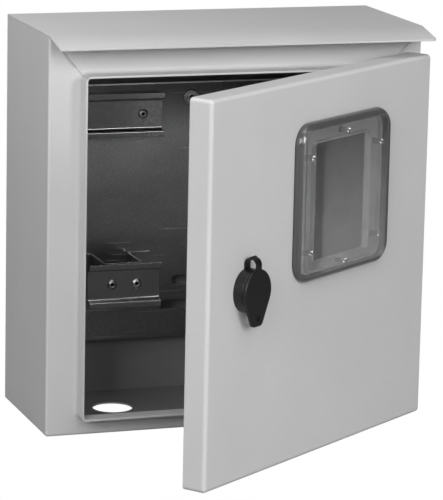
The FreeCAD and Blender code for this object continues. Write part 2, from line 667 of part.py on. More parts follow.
def hinge_washer(z):
    """Washer that lies on the case half, round the pin."""
    start = Vector(HINGE_X, HINGE_Y, z + HINGE_ARM_T / 2)
    ring = rod(HINGE_WASHER_D / 2, start, Vector(0, 0, 1), HINGE_WASHER_T)
    return ring.cut(rod(HINGE_PIN_D / 2, start, Vector(0, 0, 1), HINGE_WASHER_T))


def door_hinge(z):
    """Door half of a hinge: foot on the inside of the door and a tab over the pin."""
    low = z + HINGE_ARM_T / 2 + HINGE_WASHER_T + HINGE_PLAY
    right = DOOR_HALF_W - DOOR_FOLD_R - HINGE_PLAY
    foot = box(right - HINGE_FOOT_W, right, DOOR_INSIDE, DOOR_INSIDE + HINGE_FOOT_T, low, low + HINGE_FOOT_H)
    arm = box(HINGE_X - HINGE_TAB_R, right, DOOR_INSIDE, HINGE_Y, low, low + HINGE_TAB_T)
    eye = rod(HINGE_TAB_R, Vector(HINGE_X, HINGE_Y, low), Vector(0, 0, 1), HINGE_TAB_T)
    bore = rod(HINGE_PIN_D / 2 + HINGE_PIN_CLEAR, Vector(HINGE_X, HINGE_Y, low - 1), Vector(0, 0, 1),
               HINGE_TAB_T + 2)
    return foot.fuse([arm, eye]).cut(bore).removeSplitter()


def door_panel():
    """Door pan with four returns, the window cut-out and the lock hole."""
    half = DOOR_HALF_W
    outer = box(-half, half, DOOR_FACE, DOOR_RIM, DOOR_LOW, DOOR_HIGH)
    folds = edges_where(outer, lambda m, e: not near(m.y, DOOR_RIM))
    outer = outer.makeFillet(DOOR_FOLD_R, folds)
    inner = box(-half + DOOR_SHEET, half - DOOR_SHEET, DOOR_INSIDE, DOOR_RIM + 1, DOOR_LOW + DOOR_SHEET,
                DOOR_HIGH - DOOR_SHEET)
    folds = edges_where(inner, lambda m, e: not near(m.y, DOOR_RIM + 1))
    inner = inner.makeFillet(DOOR_FOLD_R - DOOR_SHEET, folds)
    y0, y1 = DOOR_FACE - 1, DOOR_INSIDE + 1
    cuts = [front_panel(WINDOW_X, WINDOW_Z, WINDOW_CUT_W, WINDOW_CUT_H, WINDOW_CUT_R, y0, y1),
            front_rod(LOCK_BARREL_D / 2 + LOCK_HOLE_CLEAR, LOCK_X, LOCK_Z, y0, y1)]
    return outer.cut(inner).cut(cuts)


def door_seal():
    """Four foam strips inside the door, butted at the corners, that meet the rain lip."""
    reach = (SHEET + SEAL_W) / 2
    half = OPEN_HALF_W + reach
    high, low = OPEN_TOP + reach, OPEN_BOTTOM - reach
    back_y = LIP_FRONT - SEAL_CLEAR
    across = [box(-half, half, DOOR_INSIDE, back_y, z, z + SEAL_W) for z in (high - SEAL_W, low)]
    z0, z1 = low + SEAL_W + SEAL_BUTT, high - SEAL_W - SEAL_BUTT
    upright = [box(x, x + SEAL_W, DOOR_INSIDE, back_y, z0, z1) for x in (-half, half - SEAL_W)]
    return Part.Compound(across + upright)


def peg_places():
    """Centres of the six moulded pegs of the window cover."""
    across = WINDOW_CUT_W / 2 - (FRAME_CLEAR + FRAME_SIDE_BORDER) / 2 + PEG_SIDE_SHIFT
    low = WINDOW_LOW + (FRAME_CLEAR + FRAME_LOW_BORDER) / 2
    high = WINDOW_HIGH - (FRAME_CLEAR + FRAME_TOP_BORDER) / 2
    rows = (VIEW_LOW + PEG_FROM_VIEW_END, VIEW_HIGH - PEG_FROM_VIEW_END)
    sides = [(WINDOW_X + side * across, z) for side in (-1, 1) for z in rows]
    return sides + [(WINDOW_X, high), (WINDOW_X, low)]


def window_cover():
    """Clear moulded cover: shallow dish with a rounded rim and six pegs behind it."""
    cap = front_panel(WINDOW_X, WINDOW_Z, COVER_W, COVER_H, COVER_R, COVER_FACE, COVER_BACK)
    rim = edges_where(cap, lambda m, e: near(m.y, COVER_FACE))
    cap = cap.makeFillet(COVER_ROUND, rim)
    hollow_y = COVER_FACE + COVER_WALL
    hollow = front_panel(WINDOW_X, WINDOW_Z, COVER_W - 2 * COVER_WALL, COVER_H - 2 * COVER_WALL,
                         COVER_R - COVER_WALL, hollow_y, COVER_BACK + COVER_ROUND)
    rim = edges_where(hollow, lambda m, e: near(m.y, hollow_y))
    cover = cap.cut(hollow.makeFillet(COVER_ROUND - COVER_WALL, rim))
    end_y = FRAME_BACK + CLIP_T + PEG_PROUD
    pegs = [front_rod(PEG_D / 2, x, z, hollow_y, end_y) for x, z in peg_places()]
    return cover.fuse(pegs).removeSplitter()


def window_gasket():
    """Rubber ring between the cover's rim and the door."""
    ring = front_panel(WINDOW_X, WINDOW_Z, COVER_W - 2 * GASKET_INSET, COVER_H - 2 * GASKET_INSET,
                       COVER_R - GASKET_INSET, COVER_BACK, DOOR_FACE)
    hole = front_panel(WINDOW_X, WINDOW_Z, WINDOW_CUT_W, WINDOW_CUT_H, WINDOW_CUT_R, COVER_BACK - 1,
                       DOOR_FACE + 1)
    return ring.cut(hole)


def window_frame():
    """Inner frame: floor behind the door, a rib inside the cut-out and a rib round the view."""
    view_z = (VIEW_LOW + VIEW_HIGH) / 2
    view_h = VIEW_HIGH - VIEW_LOW
    floor = front_panel(WINDOW_X, WINDOW_Z, WINDOW_CUT_W + 2 * FRAME_FLANGE_W,
                        WINDOW_CUT_H + 2 * FRAME_FLANGE_W, FRAME_FLANGE_R, DOOR_INSIDE, FRAME_BACK)
    rib_w = WINDOW_CUT_W - 2 * FRAME_CLEAR
    rib_h = WINDOW_CUT_H - 2 * FRAME_CLEAR
    rib_r = WINDOW_CUT_R - FRAME_CLEAR
    outer_rib = front_panel(WINDOW_X, WINDOW_Z, rib_w, rib_h, rib_r, FRAME_FACE, FRAME_BACK)
    channel = front_panel(WINDOW_X, WINDOW_Z, rib_w - 2 * FRAME_RIB, rib_h - 2 * FRAME_RIB, rib_r - FRAME_RIB,
                          FRAME_FACE - 1, DOOR_INSIDE)
    inner_rib = front_panel(WINDOW_X, view_z, VIEW_W + 2 * FRAME_RIB, view_h + 2 * FRAME_RIB,
                            FRAME_VIEW_R + FRAME_RIB, FRAME_FACE, FRAME_BACK)
    view = front_panel(WINDOW_X, view_z, VIEW_W, view_h, FRAME_VIEW_R, FRAME_FACE - 1, FRAME_BACK + 1)
    frame = floor.fuse(outer_rib.cut(channel)).fuse(inner_rib).cut(view)
    hole_r = PEG_D / 2 + PEG_HOLE_CLEAR
    holes = [front_rod(hole_r, x, z, DOOR_INSIDE - 1, FRAME_BACK + 1) for x, z in peg_places()]
    return frame.cut(holes).removeSplitter()


def window_clips():
    """Push-on clips that hold the pegs behind the inner frame."""
    return Part.Compound([front_ring(CLIP_D / 2, PEG_D / 2, x, z, FRAME_BACK, FRAME_BACK + CLIP_T)
                          for x, z in peg_places()])


def lock_body():
    """Lock housing: flange over the collar's floor and a barrel through the door."""
    flange = front_rod(LOCK_FLANGE_D / 2, LOCK_X, LOCK_Z, LOCK_FACE, LOCK_SEAT)
    front = edges_where(flange, lambda m, e: near(m.y, LOCK_FACE))
    flange = flange.makeChamfer(LOCK_FLANGE_H / 4, front)
    barrel = front_rod(LOCK_BARREL_D / 2, LOCK_X, LOCK_Z, LOCK_SEAT, BARREL_END)
    bore = front_rod(ROTOR_D / 2 + ROTOR_CLEAR, LOCK_X, LOCK_Z, LOCK_FACE - 1, BARREL_END + 1)
    recess = front_rod(ROTOR_HEAD_D / 2 + 2 * ROTOR_CLEAR, LOCK_X, LOCK_Z, LOCK_FACE - 1,
                       LOCK_FACE + ROTOR_HEAD_H + ROTOR_CLEAR)
    return flange.fuse(barrel).cut([bore, recess]).removeSplitter()


def lock_nut():
    """Hexagon nut that clamps the lock housing on the inside of the door."""
    y1 = DOOR_INSIDE + LOCK_NUT_H
    nut = front_hexagon(LOCK_NUT_ACROSS, LOCK_X, LOCK_Z, DOOR_INSIDE, y1)
    return nut.cut(front_rod(LOCK_BARREL_D / 2, LOCK_X, LOCK_Z, DOOR_INSIDE - 1, y1 + 1))


def lock_rotor():
    """Turning plug of the lock, with a double-bit keyhole in front and a square end for the cam."""
    head = front_rod(ROTOR_HEAD_D / 2, LOCK_X, LOCK_Z, LOCK_FACE, LOCK_FACE + ROTOR_HEAD_H)
    plug = front_rod(ROTOR_D / 2, LOCK_X, LOCK_Z, LOCK_FACE, BARREL_END + ROTOR_CLEAR)
    keyhole = front_rod(KEYHOLE_D / 2, LOCK_X, LOCK_Z, LOCK_FACE - 1, LOCK_FACE + KEYHOLE_DEPTH)
    key_y = LOCK_FACE + KEY_BIT_T
    key_pin = front_rod(KEY_PIN_D / 2, LOCK_X, LOCK_Z, key_y, LOCK_FACE + KEYHOLE_DEPTH)
    bit = box(LOCK_X - KEYHOLE_D / 2, LOCK_X + KEYHOLE_D / 2, key_y, LOCK_FACE + KEYHOLE_DEPTH,
              LOCK_Z - KEY_BIT_T / 2, LOCK_Z + KEY_BIT_T / 2)
    end = front_rod(ROTOR_END_D / 2, LOCK_X, LOCK_Z, BARREL_END + ROTOR_CLEAR, CAM_FACE)
    half = ROTOR_SQUARE / 2
    square = box(LOCK_X - half, LOCK_X + half, CAM_FACE, CAM_FACE + CAM_T, LOCK_Z - half, LOCK_Z + half)
    screw_end = CAM_FACE + CAM_T - CAM_SCREW_L
    screw_hole = front_rod(CAM_SCREW_D / 2, LOCK_X, LOCK_Z, screw_end, CAM_FACE + CAM_T + 1)
    return head.fuse(plug).cut(keyhole).fuse([key_pin, bit, end, square]).cut(screw_hole).removeSplitter()


def lock_cam():
    """Flat cam on the rotor's square, hanging down while the lock is open."""
    y0, y1 = CAM_FACE, CAM_FACE + CAM_T
    hub_r = ROTOR_END_D / 2
    hub = front_rod(hub_r, LOCK_X, LOCK_Z, y0, y1)
    arm = box(LOCK_X - CAM_W / 2, LOCK_X + CAM_W / 2, y0, y1, LOCK_Z - CAM_REACH, LOCK_Z)
    tip = edges_where(arm, lambda m, e: near(m.z, LOCK_Z - CAM_REACH) and near(m.y, (y0 + y1) / 2))
    arm = arm.makeFillet(CAM_TIP_R, tip)
    half = ROTOR_SQUARE / 2
    square = box(LOCK_X - half, LOCK_X + half, y0 - 1, y1 + 1, LOCK_Z - half, LOCK_Z + half)
    return hub.fuse(arm).cut(square).removeSplitter()


def cam_washer():
    """Washer under the cam screw's head."""
    y0 = CAM_FACE + CAM_T
    return front_ring(CAM_WASHER_D / 2, CAM_SCREW_D / 2, LOCK_X, LOCK_Z, y0, y0 + CAM_WASHER_T)


def cam_screw():
    """Screw that holds the cam on the rotor."""
    seat = CAM_FACE + CAM_T + CAM_WASHER_T
    shank = front_rod(CAM_SCREW_D / 2, LOCK_X, LOCK_Z, CAM_FACE + CAM_T - CAM_SCREW_L, seat)
    head = front_rod(CAM_SCREW_HEAD_D / 2, LOCK_X, LOCK_Z, seat, seat + CAM_SCREW_HEAD_H)
    edge = edges_where(head, lambda m, e: near(m.y, seat + CAM_SCREW_HEAD_H))
    head = head.makeFillet(CAM_SCREW_HEAD_H / 3, edge)
    slot_half = CAM_SCREW_HEAD_D / 16
    slot = box(LOCK_X - CAM_SCREW_HEAD_D, LOCK_X + CAM_SCREW_HEAD_D, seat + CAM_SCREW_HEAD_H / 2,
               seat + 2 * CAM_SCREW_HEAD_H, LOCK_Z - slot_half, LOCK_Z + slot_half)
    return shank.fuse(head).cut(slot)


def loop_bar(radius, half_w):
    """Round bar along the dust cap's hinge axis, in the crown of the loop."""
    start = Vector(LOCK_X - half_w, DOOR_FACE - LOOP_OUT, LOCK_Z + LOOP_PIN)
    return rod(radius, start, Vector(1, 0, 0), 2 * half_w)


def loop_arch(radius, foot):
    """Solid arch across the loop: a round crown on upright sides that go down to a foot."""
    x0, x1 = LOCK_X - LOOP_W / 2, LOCK_X + LOOP_W / 2
    y, z = DOOR_FACE - LOOP_OUT, LOCK_Z + LOOP_MID
    crown = rod(radius, Vector(x0, y, z), Vector(1, 0, 0), LOOP_W)
    return crown.fuse(box(x0, x1, y - radius, y + radius, foot, z))


def loop_half(low, high):
    """The part of the strap loop that lies between two heights off the door."""
    foot = LOCK_Z + COLLAR_D / 2 - LOOP_ROOT
    strap = loop_arch(LOOP_R, foot).cut(loop_arch(LOOP_R - LOOP_T, foot - LOOP_R))
    return strap.common(box(LOCK_X - LOOP_W, LOCK_X + LOOP_W, DOOR_FACE - high, DOOR_FACE - low, foot,
                            LOCK_Z + LOOP_MID + 2 * LOOP_R))


def lock_collar():
    """Black plastic collar round the lock, with the rear half of the strap loop that carries the cap."""
    disc = front_rod(COLLAR_D / 2, LOCK_X, LOCK_Z, COLLAR_FACE, DOOR_FACE)
    rim = edges_where(disc, lambda m, e: near(m.y, COLLAR_FACE))
    disc = disc.makeFillet(COLLAR_ROUND, rim)
    bore = front_rod(COLLAR_BORE_D / 2, LOCK_X, LOCK_Z, COLLAR_FACE - 1, LOCK_SEAT)
    hole = front_rod(LOCK_BARREL_D / 2 + LOCK_HOLE_CLEAR, LOCK_X, LOCK_Z, LOCK_SEAT - 1, DOOR_FACE + 1)
    strap = loop_half(0, LOOP_OUT).fuse(loop_bar(LOOP_EYE_R, LOOP_W / 2))
    gap = loop_bar(LOOP_EYE_R + LOOP_RELIEF, LOOP_EYE_W / 2 + LOOP_SIDE_CLEAR)
    pin = loop_bar(LOOP_PIN_D / 2, LOOP_W / 2)
    return disc.fuse(strap).cut([bore, hole, gap]).fuse(pin).removeSplitter()


def cap_outline():
    """Teardrop of the dust cap: a circle drawn down to a narrower tab with round corners."""
    radius = CAP_D / 2
    corner = Vector(TAB_END_W / 2 - TAB_CORNER_R, 0, -TAB_REACH + TAB_CORNER_R)
    lean = math.atan2(corner.x, -corner.z)
    spread = math.acos((radius - TAB_CORNER_R) / corner.Length)
    angle = -math.pi / 2 + lean + spread
    out = Vector(math.cos(angle), 0, math.sin(angle))
    high = out * radius
    low = corner + out * TAB_CORNER_R
    mid_angle = (angle - math.pi / 2) / 2
    middle = corner + Vector(math.cos(mid_angle), 0, math.sin(mid_angle)) * TAB_CORNER_R
    end = corner + Vector(0, 0, -TAB_CORNER_R)
    left_high, left_low, left_middle, left_end = [Vector(-v.x, v.y, v.z) for v in (high, low, middle, end)]
    edges = [Part.Arc(left_high, Vector(0, 0, radius), high).toShape(),
             Part.LineSegment(high, low).toShape(),
             Part.Arc(low, middle, end).toShape(),
             Part.LineSegment(end, left_end).toShape(),
             Part.Arc(left_end, left_middle, left_low).toShape(),
             Part.LineSegment(left_low, left_high).toShape()]
    return Part.Wire(edges)


def lock_cap():
    """Hinged black dust cap with a sealing slot in its tab and the front half of the strap loop on top."""
    outline = cap_outline()
    outline.translate(Vector(LOCK_X, CAP_FACE, LOCK_Z))
    plate = Part.Face(outline).extrude(Vector(0, CAP_T, 0))
    rim = edges_where(plate, lambda m, e: near(m.y, CAP_FACE))
    plate = plate.makeFillet(CAP_ROUND, rim)
    half_w, half_l = TAB_SLOT_W / 2, TAB_SLOT_L / 2
    slot = box(LOCK_X - half_w, LOCK_X + half_w, CAP_FACE - 1, CAP_BACK + 1,
               LOCK_Z - TAB_SLOT_DROP - half_l, LOCK_Z - TAB_SLOT_DROP + half_l)
    half_eye = LOOP_EYE_W / 2
    strap = loop_half(LOOP_OUT, LOOP_OUT + LOOP_R)
    neck = strap.common(box(LOCK_X - half_eye, LOCK_X + half_eye, CAP_FACE, DOOR_FACE, LOCK_Z,
                            LOCK_Z + LOOP_MID + LOOP_R))
    relief = loop_bar(LOOP_EYE_R + LOOP_RELIEF, LOOP_W)
    eye = loop_bar(LOOP_EYE_R, half_eye)
    bore = loop_bar(LOOP_PIN_D / 2 + LOOP_PIN_CLEAR, LOOP_W)
    return plate.fuse([strap.cut(relief), neck, eye]).cut([slot, bore]).removeSplitter()


def swing(shape):
    """The shape turned with the door from shut to its resting place."""
    moved = shape.copy()
    moved.rotate(HINGE_AXIS, Vector(0, 0, 1), DOOR_OPEN_DEG)
    return moved


def case_parts():
    """Every piece that stays with the case."""
    return {
        "case_shell": case_shell(),
        "upper_flange": upper_flange(),
        "roof_panel": roof_panel(),
        "back_panel": back_panel(),
        "mounting_plate": mounting_plate(),
        "plate_bushes": plate_bushes(),
        "plate_eyelets": plate_eyelets(),
        "upper_din_rail": rail(UPPER_RAIL_X, UPPER_RAIL_Z, UPPER_RAIL_L, PLATE_FACE, upper_rivet_places()),
        "upper_rail_rivets": upper_rail_rivets(),
        "rail_bracket": rail_bracket(),
        "lower_din_rail": rail(LOWER_RAIL_X, LOWER_RAIL_Z, LOWER_RAIL_L, BRACKET_FACE, lower_rivet_places()),
        "lower_rail_rivets": lower_rail_rivets(),
        "earth_stud": earth_stud(),
        "earth_washer": earth_washer(),
        "earth_nut": earth_nut(),
        "case_hinge_upper": case_hinge(HINGE_UPPER_Z),
        "case_hinge_lower": case_hinge(HINGE_LOWER_Z),
        "hinge_pin_upper": hinge_pin(HINGE_UPPER_Z),
        "hinge_pin_lower": hinge_pin(HINGE_LOWER_Z),
        "hinge_washers": Part.Compound([hinge_washer(HINGE_UPPER_Z), hinge_washer(HINGE_LOWER_Z)]),
    }


def door_parts():
    """Every piece that swings with the door, drawn shut."""
    return {
        "door_panel": door_panel(),
        "door_seal": door_seal(),
        "door_hinge_upper": door_hinge(HINGE_UPPER_Z),
        "door_hinge_lower": door_hinge(HINGE_LOWER_Z),
        "window_cover": window_cover(),
        "window_gasket": window_gasket(),
        "window_frame": window_frame(),
        "window_clips": window_clips(),
        "lock_body": lock_body(),
        "lock_nut": lock_nut(),
        "lock_collar": lock_collar(),
        "lock_rotor": lock_rotor(),
        "lock_cam": lock_cam(),
        "cam_washer": cam_washer(),
        "cam_screw": cam_screw(),
        "lock_cap": lock_cap(),
    }


def main():
    """Builds every piece and writes one file for each."""
    os.makedirs("parts", exist_ok=True)
    pieces = case_parts()
    pieces.update({node: swing(shape) for node, shape in door_parts().items()})
    for node, shape in pieces.items():
        shape.exportStep("parts/" + node + ".step")
        limits = shape.BoundBox
        print(f"{node:20s} solids {len(shape.Solids)} valid {shape.isValid()} "
              f"x {limits.XMin:7.1f} {limits.XMax:7.1f} y {limits.YMin:7.1f} {limits.YMax:7.1f} "
              f"z {limits.ZMin:7.1f} {limits.ZMax:7.1f} volume {shape.Volume:9.1f}")


main()
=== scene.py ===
"""Electric meter box: finishes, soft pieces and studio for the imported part.

The file is laid out as a Blender add-on and is run as a script. Every length is in metres in
the part's own frame: +X to the box's right, +Y into the wall, +Z up, origin between the wall holes.
"""

import math

import bmesh
import bpy
import numpy as np
from mathutils import Matrix, Vector


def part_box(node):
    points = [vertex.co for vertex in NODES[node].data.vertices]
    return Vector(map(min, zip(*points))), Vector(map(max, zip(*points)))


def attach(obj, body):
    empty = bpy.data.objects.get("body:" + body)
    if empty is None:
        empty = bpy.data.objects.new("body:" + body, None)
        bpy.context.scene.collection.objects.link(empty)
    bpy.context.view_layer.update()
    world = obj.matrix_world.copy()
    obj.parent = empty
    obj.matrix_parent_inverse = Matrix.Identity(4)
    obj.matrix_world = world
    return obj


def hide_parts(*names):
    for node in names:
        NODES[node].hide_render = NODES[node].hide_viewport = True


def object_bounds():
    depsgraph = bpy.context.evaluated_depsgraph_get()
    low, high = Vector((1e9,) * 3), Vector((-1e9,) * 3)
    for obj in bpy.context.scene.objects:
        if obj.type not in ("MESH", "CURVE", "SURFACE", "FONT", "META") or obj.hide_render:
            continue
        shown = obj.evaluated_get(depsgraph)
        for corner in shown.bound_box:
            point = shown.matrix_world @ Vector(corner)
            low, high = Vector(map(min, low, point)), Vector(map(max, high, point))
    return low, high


bl_info = {
    "name": "Electric meter box",
    "version": (1, 0, 0),
    "blender": (4, 5, 0),
    "location": "View3D > Sidebar > Meter box",
    "description": "Finishes, seal, weld seams and studio of a sheet-steel electric meter box",
    "category": "Object",
}

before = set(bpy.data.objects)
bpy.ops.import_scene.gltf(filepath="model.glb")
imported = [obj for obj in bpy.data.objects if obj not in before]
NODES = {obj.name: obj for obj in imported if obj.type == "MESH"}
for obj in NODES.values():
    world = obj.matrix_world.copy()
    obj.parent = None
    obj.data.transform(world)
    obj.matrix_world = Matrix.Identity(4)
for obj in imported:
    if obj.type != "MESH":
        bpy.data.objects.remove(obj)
CAD_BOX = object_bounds()

# The door rests open by this angle about the hinge.
DOOR_ANGLE = math.radians(36.4)
HINGE_POINT = np.array([0.141, -0.1335, 0.0])

# Inner face of the shut door's sheet, and the x and z of both ends of each foam strip's middle line.
DOOR_INNER_FACE = -0.141
STRIP_LINES = {
    "top": ((-0.1306, 0.12475), (0.1306, 0.12475)),
    "base": ((-0.1306, -0.13975), (0.1306, -0.13975)),
    "free_side": ((-0.12475, -0.1334), (-0.12475, 0.1184)),
    "hinge_side": ((0.12475, -0.1334), (0.12475, 0.1184)),
}

# Lowest and highest corner of the space inside the case, with the sheets' inner faces just in it.
CASE_INSIDE = ((-0.14855, -0.11855, -0.15355), (0.14855, -0.00145, 0.15355))

# Right mitre of the front flange, as x and z at the outer corner and at the root of the rain lip. The weld
# beads start just under the flange's face.
MITRE_CORNER = np.array([0.1484, 0.1531])
MITRE_ROOT = np.array([0.1296, 0.1307])
BEAD_BASE = -0.11995
BEAD_RIPPLE = 0.0011

# Half an eyelet's width and the radius of its bore, which is painted dark as painted shade in the hole.
EYELET_HALF = 0.00675
EYELET_BORE = 0.0025
# The dark middle of a blind rivet: painted shade in the bore, over the snapped mandrel.
MANDREL_SHADE_RADIUS = 0.0014

# Most of a noise pattern lies between these two values.
NOISE_LOW, NOISE_HIGH = 0.3, 0.7
# The few peaks of the drawn-out noise that show as scratches.
SCRATCH_LOW, SCRATCH_HIGH = 0.775, 0.80


def linear_colour(text):
    """sRGB hex such as #8A8C8E to linear red, green, blue and an alpha of one."""
    values = [int(text[k:k + 2], 16) / 255 for k in (1, 3, 5)]
    return [v / 12.92 if v <= 0.04045 else ((v + 0.055) / 1.055) ** 2.4 for v in values] + [1.0]


def shade(colour, share):
    """A colour made darker or paler by a share, with an alpha of one."""
    return [min(v * share, 1.0) for v in colour[:3]] + [1.0]


def add_node(tree, kind, inputs=None, settings=None):
    """Adds one node, sets its properties, and gives each socket named a value or a link from a socket."""
    node = tree.nodes.new(kind)
    for name, value in (settings or {}).items():
        setattr(node, name, value)
    for name, value in (inputs or {}).items():
        if isinstance(value, bpy.types.NodeSocket):
            tree.links.new(value, node.inputs[name])
        else:
            node.inputs[name].default_value = value
    return node


def new_material(name, plain):
    """Node material for a finish: Object coordinates, an output, and a shader with its plain values."""
    material = bpy.data.materials.new(name)
    material.use_nodes = True
    tree = material.node_tree
    tree.nodes.clear()
    place = add_node(tree, "ShaderNodeTexCoord").outputs["Object"]
    shader = add_node(tree, "ShaderNodeBsdfPrincipled", plain)
    add_node(tree, "ShaderNodeOutputMaterial", {"Surface": shader.outputs["BSDF"]})
    return material, tree, place, shader


def cloud(tree, place, size, detail=2.0, stretch=(1, 1, 1)):
    """Noise whose clouds are about size across, in metres, drawn out by stretch along each axis."""
    scale = tuple(1 / (size * s) for s in stretch)
    spread = add_node(tree, "ShaderNodeMapping", {"Vector": place, "Scale": scale}).outputs["Vector"]
    noise = add_node(tree, "ShaderNodeTexNoise", {"Vector": spread, "Scale": 1.0, "Detail": detail})
    return noise.outputs["Fac"]


def laid_over(tree, base, coat, pattern, start=NOISE_LOW, stop=NOISE_HIGH, share=1.0):
    """Colour that goes from base towards coat, up to a share, as a pattern goes from start to stop."""
    amount = add_node(tree, "ShaderNodeMapRange",
                      {"Value": pattern, "From Min": start, "From Max": stop, "To Max": share})
    mixed = add_node(tree, "ShaderNodeMix", {0: amount.outputs["Result"], 6: base, 7: coat},
                     {"data_type": "RGBA"})
    return mixed.outputs[2]


def roughened(tree, shader, pattern, low, high, start=NOISE_LOW, stop=NOISE_HIGH):
    """Roughness of a shader that goes from low to high as a pattern goes from start to stop."""
    rough = add_node(tree, "ShaderNodeMapRange",
                     {"Value": pattern, "From Min": start, "From Max": stop,
                      "To Min": low, "To Max": high}).outputs["Result"]
    tree.links.new(rough, shader.inputs["Roughness"])
    return rough


def raised(tree, shader, height, depth, edge=0.0):
    """Bump of a depth in metres on a shader, with the shading of edges eased over a radius."""
    bump = add_node(tree, "ShaderNodeBump", {"Distance": depth, "Height": height})
    if edge:
        eased = add_node(tree, "ShaderNodeBevel", {"Radius": edge}, {"samples": 4})
        tree.links.new(eased.outputs["Normal"], bump.inputs["Normal"])
    tree.links.new(bump.outputs["Normal"], shader.inputs["Normal"])


def within(tree, place, low, high, soft):
    """One inside a box from low to high, in metres, falling to nought over a soft edge outside it."""
    axes = add_node(tree, "ShaderNodeSeparateXYZ", {"Vector": place})
    inside = 1.0
    for axis, start, stop in zip("XYZ", low, high):
        for edge, out in ((start, start - soft), (stop, stop + soft)):
            part = add_node(tree, "ShaderNodeMapRange",
                            {"Value": axes.outputs[axis], "From Min": out, "From Max": edge})
            inside = add_node(tree, "ShaderNodeMath", {0: inside, 1: part.outputs["Result"]},
                              {"operation": "MULTIPLY"}).outputs["Value"]
    return inside


def powder_coat(name, colour, peel_size, peel_depth, inside=None):
    """Polyester powder coat on steel, sprayed and baked: an even satin skin with fine orange peel.

    The tone wanders a little over a hand's breadth. Inside a box of places, if one is given with a share,
    the paint is darkened by it: painted shade for the dim inside of the case. The real paint is most
    likely the same all over.
    """
    hand_breadth, inside_edge, folded_edge = 0.09, 0.0004, 0.0005
    material, tree, place, shader = new_material(name, {"IOR": 1.5})
    peel = cloud(tree, place, peel_size, detail=3.0)
    drift = cloud(tree, place, hand_breadth)
    coat = laid_over(tree, shade(colour, 0.97), shade(colour, 1.04), drift)
    coat = laid_over(tree, coat, shade(colour, 0.90), peel, share=0.5)
    # Painted shade: the coat is darkened by the given share inside the case box.
    if inside:
        low, high, share = inside
        inside_shade_mask = within(tree, place, low, high, inside_edge)
        coat = laid_over(tree, coat, shade(colour, share), inside_shade_mask, 0.0, 1.0)
    tree.links.new(coat, shader.inputs["Base Color"])
    roughened(tree, shader, peel, 0.40, 0.54)
    raised(tree, shader, peel, peel_depth, folded_edge)
    return material


def galvanised_sheet(name, colour, painted_shade_rows, highlight_edge_height):
    """Zinc-coated sheet as it comes off the roll: soft metallic sheen, fine grain and a few thin scratches.

    Along each given row of heights, from the first to the second in metres, the zinc is darkened by a
    share: painted shade. From the given top height up, the edge is painted bright: a painted highlight,
    partly the cut edge's paler metal.
    """
    grain_size, smear_size, highlight_blur = 0.0014, 0.03, 0.0003
    scratch_width, scratch_stretch = 0.0016, 34
    scratch_and_highlight_white = linear_colour("#F3F3F3")
    material, tree, place, shader = new_material(name, {"Metallic": 1.0})
    height = add_node(tree, "ShaderNodeSeparateXYZ", {"Vector": place}).outputs["Z"]
    grain = cloud(tree, place, grain_size)
    smear = cloud(tree, place, smear_size, detail=3.0, stretch=(2, 1, 1))
    scratch = cloud(tree, place, scratch_width, detail=0.0, stretch=(scratch_stretch, 1, 1))
    base = laid_over(tree, shade(colour, 0.84), shade(colour, 1.12), smear)
    base = laid_over(tree, base, shade(colour, 0.55), grain, share=0.5)
    base = laid_over(tree, base, scratch_and_highlight_white, scratch, SCRATCH_LOW, SCRATCH_HIGH, share=0.6)
    # Painted shade: bands of the plate darkened by height.
    for start, stop, share in painted_shade_rows:
        base = laid_over(tree, base, shade(colour, 0.05), height, start, stop, share)
    # Painted highlight: the top edge goes nearly white, partly the cut edge's paler metal.
    base = laid_over(tree, base, scratch_and_highlight_white, height, highlight_edge_height - highlight_blur, highlight_edge_height)
    tree.links.new(base, shader.inputs["Base Color"])
    roughened(tree, shader, grain, 0.30, 0.40)
    cut = add_node(tree, "ShaderNodeMapRange",
                   {"Value": scratch, "From Min": SCRATCH_LOW, "From Max": SCRATCH_HIGH}).outputs["Result"]
    bumps = add_node(tree, "ShaderNodeMapRange",
                     {"Value": grain, "From Min": NOISE_LOW, "From Max": NOISE_HIGH,
                      "To Max": 0.5}).outputs["Result"]
    relief = add_node(tree, "ShaderNodeMath", {0: cut, 1: bumps}, {"operation": "ADD"}).outputs["Value"]
    raised(tree, shader, relief, 0.00004, edge=0.0007)
    return material


def zinc_plate(name, colour, roughness, edge=0.0, wave=0.00002, pits=()):
    """Bright zinc plating on pressed or turned steel: cool metal with a little haze.

    Inside each pit, an x, z and radius in metres, the metal is painted dark: painted shade in the bores of
    rivets and eyelets, over the darker steel of a rivet's snapped mandrel.
    """
    haze_size, pit_edge, bore_shade_colour = 0.0015, 0.0002, linear_colour("#1C1C1C")
    material, tree, place, shader = new_material(name, {"Metallic": 1.0})
    haze = cloud(tree, place, haze_size, detail=3.0)
    base = laid_over(tree, shade(colour, 0.8), colour, haze)
    for x, z, radius in pits:
        flat = add_node(tree, "ShaderNodeMapping", {"Vector": place, "Scale": (1, 0, 1)}).outputs["Vector"]
        away = add_node(tree, "ShaderNodeVectorMath", {0: flat, 1: (x, 0, z)},
                        {"operation": "DISTANCE"}).outputs["Value"]
        base = laid_over(tree, base, bore_shade_colour, away, radius + pit_edge, radius - pit_edge)
    tree.links.new(base, shader.inputs["Base Color"])
    roughened(tree, shader, haze, roughness - 0.04, roughness + 0.05)
    raised(tree, shader, haze, wave, edge)
    return material


def moulded_plastic(name, colour, roughness, grain_size, depth):
    """Injection-moulded plastic from a spark-eroded tool: even satin with a fine grain."""
    material, tree, place, shader = new_material(name, {"IOR": 1.49})
    grain = cloud(tree, place, grain_size)
    pale = [min(v * 1.25 + 0.002, 1.0) for v in colour[:3]] + [1.0]
    tree.links.new(laid_over(tree, colour, pale, grain), shader.inputs["Base Color"])
    roughened(tree, shader, grain, roughness - 0.05, roughness + 0.07)
    raised(tree, shader, grain, depth)
    return material


